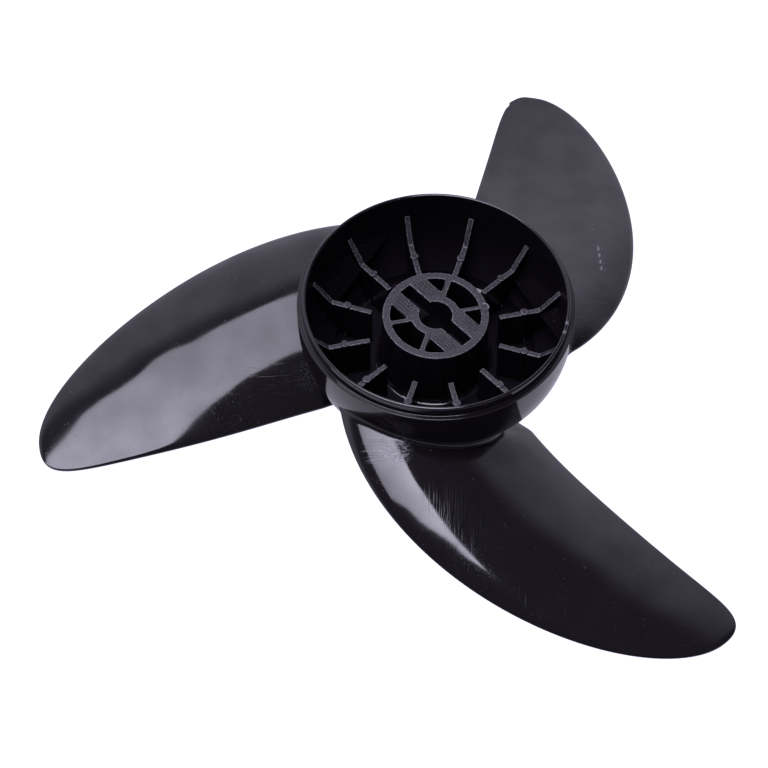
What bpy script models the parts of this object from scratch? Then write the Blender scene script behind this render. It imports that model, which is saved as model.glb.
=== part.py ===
"""One-piece moulded three-blade propeller of an electric outboard motor.

Metres, +Z along the shaft toward the open motor side of the hub, +X along the drive-pin slot. Depths are
measured down from the top of the hub's lip, as on a drawing, and the origin is the centre of mass.
"""

import math

import bmesh
import bpy

# Height of the lip's top above the centre of mass
LIP_TOP_Z = 0.0296

# Hub shell
HUB_R = 0.0444
LIP_INNER_R = 0.0415
LIP_OUTER_R = 0.0426
SHOULDER_DEPTH = 0.0033
SHOULDER_FOOT_R = 0.0429
BOWL_LENGTH = 0.0450
BOWL_FULLNESS = 3.2
BOWL_ROUNDING = 1.2
BOWL_ROWS = 11
BOWL_ROW_SPREAD = 0.8
SLOPE_STEP = 1e-5
WALL = 0.0030
NOSE_R = 0.0168
NOSE_DEPTH = 0.0520
NOSE_BLEND = 10.0
FLOOR_DEPTH = 0.0330
FLOOR_MARGIN = 0.0005
FLOOR_START_R = 0.0285
HUB_SIDES = 72
MERGE_DISTANCE = 1e-6

# Boss with its bore, ring, spokes and drive-pin slot
BOSS_TOP_R = 0.0171
BOSS_FOOT_R = 0.0179
BOSS_DEPTH = 0.0096
RING_INNER_R = 0.01465
TUBE_R = 0.0080
BORE_R = 0.00536
CELL_DEPTH = 0.0350
WIDE_SPOKE = 0.0019
NARROW_SPOKE = 0.0014
SPOKES = ((60.0, NARROW_SPOKE), (120.0, WIDE_SPOKE), (240.0, NARROW_SPOKE), (300.0, WIDE_SPOKE))
BRIDGE_WIDTH = 0.0152
SLOT_WIDTH = 0.0043
SLOT_LENGTH = 0.0288
SLOT_DEPTH = 0.0069
BOSS_SIDES = 48
RING_ARC_STEPS = 6
TUBE_ARC_STEPS = 4
CUT_MARGIN = 0.0020
JOINT_OVERLAP = 0.0010

# Nut recess in the nose
RECESS_R = 0.0125
RECESS_DEPTH = 0.0100

# Ribs inside the hub, with their ejector marks
RIB_COUNT = 12
RIB_THICKNESS = 0.0018
RIB_START_R = 0.0216
RIB_DEPTH = 0.0171
RIB_KINK_R = 0.0350
RIB_END_R = 0.0413
RIB_END_DEPTH = 0.0095
RIB_BURIED_R = 0.0423
EJECTOR_R = 0.0013
EJECTOR_PLACE_R = 0.0299
EJECTOR_DEPTH = 0.0165
EJECTOR_FOOT_DEPTH = 0.0335
EJECTOR_SIDES = 10

# Blades: polynomials in the span, which is 0 at the root and 1 at the tip
BLADE_COUNT = 3
TIP_R = 0.1326
ROOT_R = 0.0400
BURIED_ROOT_R = (0.0230, 0.0310)
FIRST_BLADE_ANGLE = 1.370
CHORD = (0.0771, 0.0146, -0.1007, 0.0598)
TIP_FULLNESS = 3.864
TIP_ROUNDING = 2.266
SKEW = (0.0, 1.277, -0.913, 0.359)
PITCH = (0.0915, 0.1335, -0.1491)
RAKE = (-0.0280, -0.0304, 0.0094, 0.0027)
CAMBER = (0.0726, 0.0168, -0.0883)
CAMBER_LEAN = (-0.0109, 0.0036)
ROOT_THICKNESS = 0.0054
TIP_THICKNESS = 0.0018
TRAILING_THICKNESS = 0.0014
NOSE_FULLNESS = 4
TRAILING_FULLNESS = 80
ROOT_FILLET_R = 0.0015
BLADE_ROWS = 15
SECTION_STEPS = 10


def clear_scene():
    for found in list(bpy.data.objects):
        bpy.data.objects.remove(found, do_unlink=True)


def new_object(name, bm):
    """Put a built mesh in the scene as an object with its faces pointing out."""
    bmesh.ops.recalc_face_normals(bm, faces=bm.faces[:])
    mesh = bpy.data.meshes.new(name)
    bm.to_mesh(mesh)
    bm.free()
    obj = bpy.data.objects.new(name, mesh)
    bpy.context.scene.collection.objects.link(obj)
    return obj


def polynomial(factors, value):
    return sum(factor * value**power for power, factor in enumerate(factors))


def turned(name, profile, sides):
    """A solid turned round the shaft axis from (radius, depth) points that start and end on the axis."""
    bm = bmesh.new()
    verts = [bm.verts.new((radius, 0.0, LIP_TOP_Z - depth)) for radius, depth in profile]
    edges = [bm.edges.new(pair) for pair in zip(verts, verts[1:])]
    bmesh.ops.spin(
        bm,
        geom=verts + edges,
        cent=(0, 0, 0),
        axis=(0, 0, 1),
        angle=2.0 * math.pi,
        steps=sides,
        use_merge=True,
    )
    bmesh.ops.remove_doubles(bm, verts=bm.verts[:], dist=MERGE_DISTANCE)
    return new_object(name, bm)


def extrude_outline(bm, points, travel):
    """A closed solid between an outline, given as points in space, and its copy at the travel."""
    face = bm.faces.new([bm.verts.new(point) for point in points])
    grown = bmesh.ops.extrude_face_region(bm, geom=[face], use_keep_orig=True)
    moved = [item for item in grown["geom"] if isinstance(item, bmesh.types.BMVert)]
    bmesh.ops.translate(bm, verts=moved, vec=travel)


def arc(radius, start, end, steps):
    """Points of an arc in the plane, from one angle in radians to another."""
    angles = [start + (end - start) * step / steps for step in range(steps + 1)]
    return [(radius * math.cos(angle), radius * math.sin(angle)) for angle in angles]


def bowl_radius(depth):
    """The bowl's outer radius at a depth, run smoothly into the nose."""
    part = min(1.0, max(0.0, (depth - SHOULDER_DEPTH) / BOWL_LENGTH))
    bowl = HUB_R * (1.0 - part**BOWL_FULLNESS) ** (1.0 / BOWL_ROUNDING)
    return (bowl**NOSE_BLEND + NOSE_R**NOSE_BLEND) ** (1.0 / NOSE_BLEND)


def bowl_depths():
    """Depths of the bowl's rows, closer together where it curves in."""
    parts = [(row / BOWL_ROWS) ** BOWL_ROW_SPREAD for row in range(1, BOWL_ROWS)]
    return [SHOULDER_DEPTH + (NOSE_DEPTH - SHOULDER_DEPTH) * part for part in parts]


def hub_body():
    profile = [(0.0, 0.0), (LIP_OUTER_R, 0.0), (SHOULDER_FOOT_R, SHOULDER_DEPTH), (HUB_R, SHOULDER_DEPTH)]
    profile += [(bowl_radius(depth), depth) for depth in bowl_depths()]
    profile += [(NOSE_R, NOSE_DEPTH), (0.0, NOSE_DEPTH)]
    return turned("propeller", profile, HUB_SIDES)


def cavity_outline():
    """(radius, depth) points down the inside of the shell, one wall's thickness in from the bowl."""
    points = []
    for depth in bowl_depths():
        change = bowl_radius(depth + SLOPE_STEP) - bowl_radius(depth - SLOPE_STEP)
        slope = 0.5 * change / SLOPE_STEP
        inward = WALL / math.hypot(1.0, slope)
        inner = (bowl_radius(depth) - inward, depth + slope * inward)
        if inner[0] > BOSS_FOOT_R and inner[1] < FLOOR_DEPTH - FLOOR_MARGIN:
            points.append(inner)
    return points


def hub_cavity():
    rim = [(0.0, -CUT_MARGIN), (LIP_INNER_R, -CUT_MARGIN), (LIP_INNER_R, 0.0)]
    floor = [(FLOOR_START_R, FLOOR_DEPTH), (0.0, FLOOR_DEPTH)]
    return turned("hub_cavity", rim + cavity_outline() + floor, HUB_SIDES)


def boss():
    foot = FLOOR_DEPTH + JOINT_OVERLAP
    profile = [(0.0, BOSS_DEPTH), (BOSS_TOP_R, BOSS_DEPTH), (BOSS_FOOT_R, foot), (0.0, foot)]
    return turned("boss", profile, BOSS_SIDES)


def repeat_round(bm, count):
    """Copy everything in the mesh round the shaft axis, count times in all."""
    turn = 2.0 * math.pi * (count - 1) / count
    bmesh.ops.spin(
        bm,
        geom=bm.verts[:] + bm.edges[:] + bm.faces[:],
        cent=(0, 0, 0),
        axis=(0, 0, 1),
        angle=turn,
        steps=count - 1,
        use_duplicate=True,
    )


def ribs():
    """Thin walls that brace the shell, with a level top edge that kinks up toward the lip."""
    bm = bmesh.new()
    buried = [(radius + 0.5 * WALL, depth) for radius, depth in cavity_outline() if depth > RIB_END_DEPTH]
    side = [(RIB_START_R, RIB_DEPTH), (RIB_KINK_R, RIB_DEPTH), (RIB_END_R, RIB_END_DEPTH)]
    side += [(RIB_BURIED_R, RIB_END_DEPTH)] + buried + [(RIB_START_R, FLOOR_DEPTH + JOINT_OVERLAP)]
    points = [(radius, -0.5 * RIB_THICKNESS, LIP_TOP_Z - depth) for radius, depth in side]
    extrude_outline(bm, points, (0.0, RIB_THICKNESS, 0.0))
    repeat_round(bm, RIB_COUNT)
    return new_object("ribs", bm)


def ejector_marks():
    """Round pads on the ribs where the mould's ejector pins press."""
    bm = bmesh.new()
    top = LIP_TOP_Z - EJECTOR_DEPTH
    circle = arc(EJECTOR_R, 0.0, 2.0 * math.pi, EJECTOR_SIDES)[:-1]
    points = [(EJECTOR_PLACE_R + x, y, top) for x, y in circle]
    extrude_outline(bm, points, (0.0, 0.0, EJECTOR_DEPTH - EJECTOR_FOOT_DEPTH))
    repeat_round(bm, RIB_COUNT)
    return new_object("ejector_marks", bm)


def spoke_edge(radius, spoke, side):
    """The angle at which a spoke's side crosses a radius; side is -1 before the spoke and 1 after it."""
    angle, width = spoke
    return math.radians(angle) + side * math.asin(0.5 * width / radius)


def bridge_edge(radius, quarter):
    """The angle at which the edge of the wide bridge along the slot crosses a radius, in each quarter."""
    reach = math.asin(0.5 * BRIDGE_WIDTH / radius)
    return (reach, math.pi - reach, math.pi + reach, 2.0 * math.pi - reach)[quarter]


def cell_corner(spoke, side):
    """Where a spoke's side meets the edge of the bridge next to it."""
    angle, width = spoke
    turn = math.radians(angle)
    edge = math.copysign(0.5 * BRIDGE_WIDTH, math.sin(turn))
    outward = (edge - side * 0.5 * width * math.cos(turn)) / math.sin(turn)
    return (outward * math.cos(turn) - side * 0.5 * width * math.sin(turn), edge)


def cell_outlines():
    """Outlines of the six pockets: four corners beside the bridges, and two between the spokes."""
    first, second, third, fourth = SPOKES
    outlines = []
    for quarter, (spoke, side) in enumerate(((first, -1), (second, 1), (third, -1), (fourth, 1))):
        ends = sorted((bridge_edge(RING_INNER_R, quarter), spoke_edge(RING_INNER_R, spoke, side)))
        outlines.append(arc(RING_INNER_R, *ends, RING_ARC_STEPS) + [cell_corner(spoke, side)])
    for before, after in ((first, second), (third, fourth)):
        start, end = (spoke_edge(RING_INNER_R, spoke, side) for spoke, side in ((before, 1), (after, -1)))
        outer = arc(RING_INNER_R, start, end, RING_ARC_STEPS)
        start, end = (spoke_edge(TUBE_R, spoke, side) for spoke, side in ((after, -1), (before, 1)))
        outlines.append(outer + arc(TUBE_R, start, end, TUBE_ARC_STEPS))
    return outlines


def boss_cells():
    bm = bmesh.new()
    for outline in cell_outlines():
        points = [(x, y, LIP_TOP_Z - CELL_DEPTH) for x, y in outline]
        extrude_outline(bm, points, (0.0, 0.0, CELL_DEPTH - BOSS_DEPTH + CUT_MARGIN))
    return new_object("boss_cells", bm)


def pin_slot():
    bm = bmesh.new()
    x, y = 0.5 * SLOT_LENGTH, 0.5 * SLOT_WIDTH
    floor = LIP_TOP_Z - BOSS_DEPTH - SLOT_DEPTH
    corners = [(-x, -y, floor), (x, -y, floor), (x, y, floor), (-x, y, floor)]
    extrude_outline(bm, corners, (0.0, 0.0, SLOT_DEPTH + CUT_MARGIN))
    return new_object("pin_slot", bm)


def shaft_way():
    """The bore for the shaft, opening into the nut's recess in the nose."""
    above, below = BOSS_DEPTH - CUT_MARGIN, NOSE_DEPTH + CUT_MARGIN
    seat = NOSE_DEPTH - RECESS_DEPTH
    profile = [(0.0, above), (BORE_R, above), (BORE_R, seat)]
    profile += [(RECESS_R, seat), (RECESS_R, below), (0.0, below)]
    return turned("shaft_way", profile, BOSS_SIDES)


def fillet_rise(gap):
    """How much a blade thickens at a gap from the hub's wall, so that it flows into the hub."""
    if gap >= ROOT_FILLET_R:
        return 0.0
    inward = ROOT_FILLET_R - max(0.0, gap)
    return ROOT_FILLET_R - math.sqrt(ROOT_FILLET_R**2 - inward**2)


def half_thickness(along, thickness):
    """Half a section's thickness, from -1 at its round leading edge to 1 at its thin, blunt trailing edge."""
    if along < 0.0:
        return 0.5 * thickness * math.sqrt(1.0 - along**NOSE_FULLNESS)
    thinned = thickness + (TRAILING_THICKNESS - thickness) * along**2
    return 0.5 * thinned * math.sqrt(1.0 - along**TRAILING_FULLNESS)


def section(radius, span, number):
    """A blade's closed outline at a radius, wrapped on the cylinder there, from the leading edge round."""
    chord = polynomial(CHORD, span) * (1.0 - span**TIP_FULLNESS) ** (1.0 / TIP_ROUNDING)
    thickness = ROOT_THICKNESS + (TIP_THICKNESS - ROOT_THICKNESS) * span
    reach = max(radius, ROOT_R)
    pitch = math.atan(polynomial(PITCH, span) / (2.0 * math.pi * reach))
    camber, lean = polynomial(CAMBER, span), polynomial(CAMBER_LEAN, span)
    middle = FIRST_BLADE_ANGLE + polynomial(SKEW, span) + 2.0 * math.pi * number / BLADE_COUNT
    points = []
    for index in range(2 * SECTION_STEPS):
        turn = math.pi * index / SECTION_STEPS
        along = -math.cos(turn)
        depth = 0.5 * along * chord * math.sin(pitch) - polynomial(RAKE, span)
        swell = fillet_rise(radius - bowl_radius(depth))
        rise = half_thickness(along, thickness) + swell * (1.0 - along**NOSE_FULLNESS)
        bend = (camber + lean * along) * chord * (1.0 - along**2)
        offset = bend + math.copysign(rise, math.sin(turn))
        forward = 0.5 * along * chord + min(0.0, along) * swell
        angle = middle + (forward * math.cos(pitch) + offset * math.sin(pitch)) / reach
        height = LIP_TOP_Z - depth + offset * math.cos(pitch)
        points.append((radius * math.cos(angle), radius * math.sin(angle), height))
    return points


def skin(bm, first, second):
    """Quads between two rings of the same length."""
    for index, corner in enumerate(first):
        after = (index + 1) % len(first)
        bm.faces.new((corner, first[after], second[after], second[index]))


def blade(number):
    """One blade as a skin over its sections, from inside the hub's wall to a point at the tip."""
    bm = bmesh.new()
    places = [(radius, 0.0) for radius in BURIED_ROOT_R]
    for row in range(BLADE_ROWS):
        span = math.sin(0.5 * math.pi * row / BLADE_ROWS)
        places.append((ROOT_R + (TIP_R - ROOT_R) * span, span))
    rings = [[bm.verts.new(point) for point in section(radius, span, number)] for radius, span in places]
    for first, second in zip(rings, rings[1:]):
        skin(bm, first, second)
    bm.faces.new(rings[0])
    tip = bm.verts.new(section(TIP_R, 1.0, number)[0])
    for index, corner in enumerate(rings[-1]):
        bm.faces.new((corner, rings[-1][(index + 1) % len(rings[-1])], tip))
    return new_object(f"blade_{number + 1}", bm)


def combine(base, other, operation):
    """Add a Boolean with a helper object, which stays out of the part."""
    other.hide_render = True
    other.display_type = "WIRE"
    modifier = base.modifiers.new(other.name, "BOOLEAN")
    modifier.operation = operation
    modifier.solver = "EXACT"
    modifier.object = other


def black_nylon():
    """Glossy black glass-filled nylon."""
    material = bpy.data.materials.new("black_nylon")
    material.use_nodes = True
    shader = material.node_tree.nodes["Principled BSDF"]
    shader.inputs["Base Color"].default_value = (0.012, 0.011, 0.013, 1.0)
    shader.inputs["Roughness"].default_value = 0.25
    return material


def main():
    clear_scene()
    propeller = hub_body()
    for number in range(BLADE_COUNT):
        combine(propeller, blade(number), "UNION")
    combine(propeller, hub_cavity(), "DIFFERENCE")
    for added in (boss(), ribs(), ejector_marks()):
        combine(propeller, added, "UNION")
    for cutter in (boss_cells(), pin_slot(), shaft_way()):
        combine(propeller, cutter, "DIFFERENCE")
    propeller.data.materials.append(black_nylon())


main()
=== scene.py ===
"""Looks of a moulded three-blade boat propeller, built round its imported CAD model.

Everything is in metres in the CAD model's frame: +Z along the shaft toward the open motor side of the hub, +X
along the drive-pin slot. Depths are measured down from the top of the hub's lip, as on a drawing.
"""

from __future__ import annotations

import logging
import math
from dataclasses import dataclass
from enum import Enum
from typing import Sequence

import bmesh
import bpy
from mathutils import Matrix, Vector

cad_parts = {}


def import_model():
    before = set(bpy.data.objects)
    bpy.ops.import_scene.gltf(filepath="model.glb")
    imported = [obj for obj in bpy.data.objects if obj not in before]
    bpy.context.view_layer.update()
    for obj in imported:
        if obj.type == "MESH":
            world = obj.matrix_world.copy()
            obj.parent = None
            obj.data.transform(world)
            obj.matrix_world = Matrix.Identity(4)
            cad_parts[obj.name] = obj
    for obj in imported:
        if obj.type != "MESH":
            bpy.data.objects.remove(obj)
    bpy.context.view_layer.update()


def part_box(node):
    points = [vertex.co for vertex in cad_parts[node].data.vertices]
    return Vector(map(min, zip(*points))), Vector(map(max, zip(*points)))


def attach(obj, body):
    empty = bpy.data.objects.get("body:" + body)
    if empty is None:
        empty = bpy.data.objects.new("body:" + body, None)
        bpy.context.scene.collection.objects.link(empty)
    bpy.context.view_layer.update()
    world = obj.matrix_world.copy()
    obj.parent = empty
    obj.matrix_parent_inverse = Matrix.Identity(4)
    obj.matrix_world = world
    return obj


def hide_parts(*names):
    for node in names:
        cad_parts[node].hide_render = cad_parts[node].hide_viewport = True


Point = tuple[float, float]
Triple = tuple[float, float, float]
Groups = dict[str, bpy.types.NodeTree]
BMesh = bmesh.types.BMesh
Socket = bpy.types.NodeSocket
LOG = logging.getLogger("propeller")
NODE = "propeller"
BODY = "root"
FLOAT = "NodeSocketFloat"
VECTOR = "NodeSocketVector"
ORIGIN = (0.0, 0.0, 0.0)
UP = (0.0, 0.0, 1.0)
MERGE_DISTANCE = 1e-6
SMOOTH_ANGLE = math.radians(35.0)
CORNER_ANGLE = math.radians(20.0)
CORNER_STEPS = 6
# How far up the normals of level tops, tilted tops and rounded corners point, and a corner's largest face;
# small corners that face up past CORNER_SLOPE get a painted edge highlight
TOP_SLOPE = 0.97
TILT_SLOPE = 0.50
CORNER_SLOPE = 0.25
CORNER_AREA = 4e-6
# Where a noise pattern's low and high values lie, and how wide the edges of scratches and specks are in it
NOISE_ENDS = (0.35, 0.65)
SCUFF_EDGE = 0.05
SPECK_EDGE = 0.04
# Sockets of a colour Mix node
MIX_FACTOR, MIX_FIRST, MIX_SECOND, MIX_RESULT = 0, 6, 7, 2


class Finish(Enum):
    """Kinds of surface: polished outside, spark-eroded tops, a duller inside, and upward-facing rounded
    corners lightened as a painted edge highlight.
    """

    POLISHED = 0
    ERODED = 1
    INNER = 2
    RUBBED = 3


class Detail(Enum):
    """How many finer layers a noise pattern has."""

    PLAIN = 1.0
    FINE = 2.0
    CLOUDY = 3.0


def polynomial(factors: Sequence[float], value: float) -> float:
    """Sum of the factors times rising powers of the value."""
    return sum(factor * value**power for power, factor in enumerate(factors))


def arc(radius: float, start: float, end: float, steps: int) -> list[Point]:
    """Points of an arc round the origin, both ends included, from one angle in radians to another."""
    angles = [start + (end - start) * step / steps for step in range(steps + 1)]
    return [(radius * math.cos(angle), radius * math.sin(angle)) for angle in angles]


def walked(outline: Sequence[Vector], index: int, way: int, reach: float) -> Vector:
    """The place reached from a point along a closed outline.

    Args:
        outline: Its points, in order round it.
        index: Which point the walk starts from.
        way: 1 to walk onward or -1 to walk back.
        reach: How far the walk goes.

    Returns:
        The place.
    """
    here, left = outline[index], reach
    while True:
        index = (index + way) % len(outline)
        step = (outline[index] - here).length
        if step >= left:
            return here.lerp(outline[index], left / step)
        here, left = outline[index], left - step


def softened(outline: Sequence[Point], reach: float) -> list[Point]:
    """Round an outline's corners, so that the edges along it can be rounded as well.

    Args:
        outline: Its points, in order round it.
        reach: How far from each corner the rounding starts.

    Returns:
        The new outline.
    """
    points = [Vector(point) for point in outline]
    lengths = [(point - points[index - 1]).length for index, point in enumerate(points)]
    places = [sum(lengths[1 : index + 1]) for index in range(len(points))]
    total = sum(lengths)
    half = 0.5 * total
    corners = []
    for index, point in enumerate(points):
        onward = points[(index + 1) % len(points)] - point
        if (point - points[index - 1]).angle(onward) > CORNER_ANGLE:
            corners.append(index)
    parts = [step / CORNER_STEPS for step in range(CORNER_STEPS + 1)]
    result = []
    for index, point in enumerate(points):
        gaps = [abs((places[index] - places[corner] + half) % total - half) for corner in corners]
        if index in corners:
            start, end = (walked(points, index, way, reach) for way in (-1, 1))
            result += [start.lerp(point, part).lerp(point.lerp(end, part), part) for part in parts]
        elif min(gaps, default=total) > reach:
            result.append(point)
    return [(point.x, point.y) for point in result]


def face_outward(bm: BMesh) -> None:
    """Turn the faces of closed shapes outward."""
    bmesh.ops.recalc_face_normals(bm, faces=bm.faces[:])


def spin_round(bm: BMesh, sides: int) -> None:
    """Turn the wire in a bmesh into a closed surface round the shaft's axis.

    Args:
        bm: The bmesh, which holds only the profile.
        sides: How many sides the full turn has.
    """
    wire = bm.verts[:] + bm.edges[:]
    bmesh.ops.spin(bm, geom=wire, cent=ORIGIN, axis=UP, angle=math.tau, steps=sides, use_merge=True)
    bmesh.ops.remove_doubles(bm, verts=bm.verts[:], dist=MERGE_DISTANCE)
    face_outward(bm)


def repeat_round(bm: BMesh, count: int) -> None:
    """Copy everything in a bmesh round the shaft's axis.

    Args:
        bm: The bmesh, which holds the first copy.
        count: How many copies there are in the end.
    """
    first = bm.verts[:] + bm.edges[:] + bm.faces[:]
    turn = math.tau * (count - 1) / count
    bmesh.ops.spin(bm, geom=first, cent=ORIGIN, axis=UP, angle=turn, steps=count - 1, use_duplicate=True)


def prism(bm: BMesh, outline: Sequence[Triple], travel: Triple) -> None:
    """Add the closed solid that an outline sweeps.

    Args:
        bm: The bmesh that takes it.
        outline: The outline's points in space, in order round it.
        travel: The straight way that it is swept.
    """
    face = bm.faces.new([bm.verts.new(point) for point in outline])
    grown = bmesh.ops.extrude_face_region(bm, geom=[face], use_keep_orig=True)
    moved = [item for item in grown["geom"] if isinstance(item, bmesh.types.BMVert)]
    bmesh.ops.translate(bm, verts=moved, vec=travel)
    face_outward(bm)


def disc(bm: BMesh, centre: Point, radius: float, sides: int, low: float, high: float) -> None:
    """Add a closed round solid, whose foot and top are at the heights low and high."""
    circle = arc(radius, 0.0, math.tau, sides)[:-1]
    prism(bm, [(centre[0] + x, centre[1] + y, low) for x, y in circle], (0.0, 0.0, high - low))


def round_off(bm: BMesh, geom: list, width: float, segments: int, affect: str = "EDGES") -> None:
    """Round some edges, or some corners of a wire, as a mould's corners are."""
    bmesh.ops.bevel(bm, geom=geom, offset=width, segments=segments, profile=0.5, affect=affect, material=-1)


def dress_inside(bm: BMesh, low: float, width: float, segments: int = 3, reach: float = math.inf) -> None:
    """Round the upper edges of a piece inside the hub, and give its faces their finishes.

    Tops are spark-eroded, narrow upward slopes get a light colour as a painted edge highlight, and the rest
    has the inner finish.

    Args:
        bm: The piece's bmesh.
        low: Height above which edges are rounded, and faces are tops or corners.
        width: How wide the rounding is.
        segments: How many faces it has across.
        reach: How far along X edges are rounded.
    """
    edges = [
        edge
        for edge in bm.edges
        if len(edge.link_faces) == 2
        and edge.calc_face_angle(0.0) > SMOOTH_ANGLE
        and min(vert.co.z for vert in edge.verts) > low
        and max(vert.co.x for vert in edge.verts) <= reach
    ]
    round_off(bm, edges, width, segments)
    bm.normal_update()
    for face in bm.faces:
        finish = Finish.INNER
        if face.calc_center_median().z > low:
            broad = face.calc_area() > CORNER_AREA
            if face.normal.z > TOP_SLOPE or broad and face.normal.z > TILT_SLOPE:
                finish = Finish.ERODED
            # Small upward-facing corners are lightened: a painted highlight along the rounded edges
            elif face.normal.z > CORNER_SLOPE and not broad:
                finish = Finish.RUBBED
        face.material_index = finish.value


def mesh_of(name: str, bm: BMesh) -> bpy.types.Mesh:
    """Make a mesh of a bmesh.

    Args:
        name: The mesh's name.
        bm: The bmesh, which is freed.

    Returns:
        The mesh.
    """
    mesh = bpy.data.meshes.new(name)
    bm.to_mesh(mesh)
    bm.free()
    return mesh


def linked(name: str, data: bpy.types.ID) -> bpy.types.Object:
    """Make an object and put it in the scene.

    Args:
        name: The object's name.
        data: Its mesh, light or camera.

    Returns:
        The object.
    """
    made = bpy.data.objects.new(name, data)
    bpy.context.scene.collection.objects.link(made)
    return made


def cut_away(base: BMesh, cutters: Sequence[BMesh]) -> BMesh:
    """Cut closed solids out of another.

    Args:
        base: The solid that is cut, which is freed.
        cutters: The solids to cut with, which are freed.

    Returns:
        What is left, as a new bmesh.
    """
    solids = [linked("solid", mesh_of("solid", bm)) for bm in (base, *cutters)]
    for cutter in solids[1:]:
        modifier = solids[0].modifiers.new("cut", "BOOLEAN")
        modifier.operation = "DIFFERENCE"
        modifier.solver = "EXACT"
        modifier.object = cutter
    graph = bpy.context.evaluated_depsgraph_get()
    result = bmesh.new()
    result.from_mesh(solids[0].evaluated_get(graph).data)
    for used in solids:
        bpy.data.meshes.remove(used.data)
    bmesh.ops.remove_doubles(result, verts=result.verts[:], dist=MERGE_DISTANCE)
    return result


def corner_normals(bm: BMesh) -> list[Vector]:
    """Normals that keep flat faces looking flat beside their rounded edges.

    Args:
        bm: The closed bmesh.

    Returns:
        A normal for every corner of every face, led by the largest faces there that meet it smoothly.
    """
    bm.normal_update()
    limit = math.cos(SMOOTH_ANGLE)
    shares = {face: face.normal * face.calc_area() for face in bm.faces}
    normals = []
    for face in bm.faces:
        for vert in face.verts:
            total = Vector()
            for near in vert.link_faces:
                if near.normal.dot(face.normal) > limit:
                    total += shares[near]
            normals.append(total.normalized() if total.length > 0.0 else face.normal.copy())
    return normals


def finish_piece(name: str, bm: BMesh, materials: Sequence[bpy.types.Material]) -> None:
    """Make a piece, shaded smooth with sharp corners kept, and hang it on the propeller's body.

    Args:
        name: The piece's name.
        bm: Its closed bmesh, which is freed.
        materials: Its materials, in the order of Finish.
    """
    normals = corner_normals(bm)
    mesh = mesh_of(name, bm)
    mesh.shade_smooth()
    mesh.set_sharp_from_angle(angle=SMOOTH_ANGLE)
    mesh.normals_split_custom_set(normals)
    for material in materials:
        mesh.materials.append(material)
    piece = linked(name, mesh)
    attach(piece, BODY)
    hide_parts(NODE)
    LOG.info("%s: %d faces", name, len(mesh.polygons))


@dataclass(frozen=True)
class Bowl:
    """The hub's outer form, which its shell is turned from and the blades' roots follow.

    Attributes:
        top: Height of the lip's top in the frame.
        nose_depth: Depth of the nose's flat end.
        rim_radius: The bowl's radius at the shoulder.
        shoulder_depth: Depth at which the bowl starts.
        length: Depth over which it would close, from the shoulder.
        fullness: How long it stays near its full width.
        rounding: How round it closes.
        nose_radius: Radius of the nose that it runs into.
        nose_blend: How sharply the bowl turns into the nose.
        spread: How evenly the shell's rows are spaced down it, less than 1 for closer toward the nose.
        step: Small change of depth to measure its slope with.
    """

    top: float
    nose_depth: float
    rim_radius: float = 0.0444
    shoulder_depth: float = 0.0033
    length: float = 0.0450
    fullness: float = 3.2
    rounding: float = 1.2
    nose_radius: float = 0.0168
    nose_blend: float = 10.0
    spread: float = 0.8
    step: float = 1e-5

    def radius(self, depth: float) -> float:
        """The outer radius at a depth.

        Args:
            depth: The depth.

        Returns:
            The radius, blended from the bowl's and the nose's.
        """
        part = min(1.0, max(0.0, (depth - self.shoulder_depth) / self.length))
        bowl = self.rim_radius * (1.0 - part**self.fullness) ** (1.0 / self.rounding)
        return (bowl**self.nose_blend + self.nose_radius**self.nose_blend) ** (1.0 / self.nose_blend)

    def slope(self, depth: float) -> float:
        """How fast the outer radius changes with depth."""
        return 0.5 * (self.radius(depth + self.step) - self.radius(depth - self.step)) / self.step

    def depths(self, rows: int) -> list[float]:
        """Depths of the rows down the bowl."""
        reach = self.nose_depth - self.shoulder_depth
        return [self.shoulder_depth + reach * (row / rows) ** self.spread for row in range(1, rows)]


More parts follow.
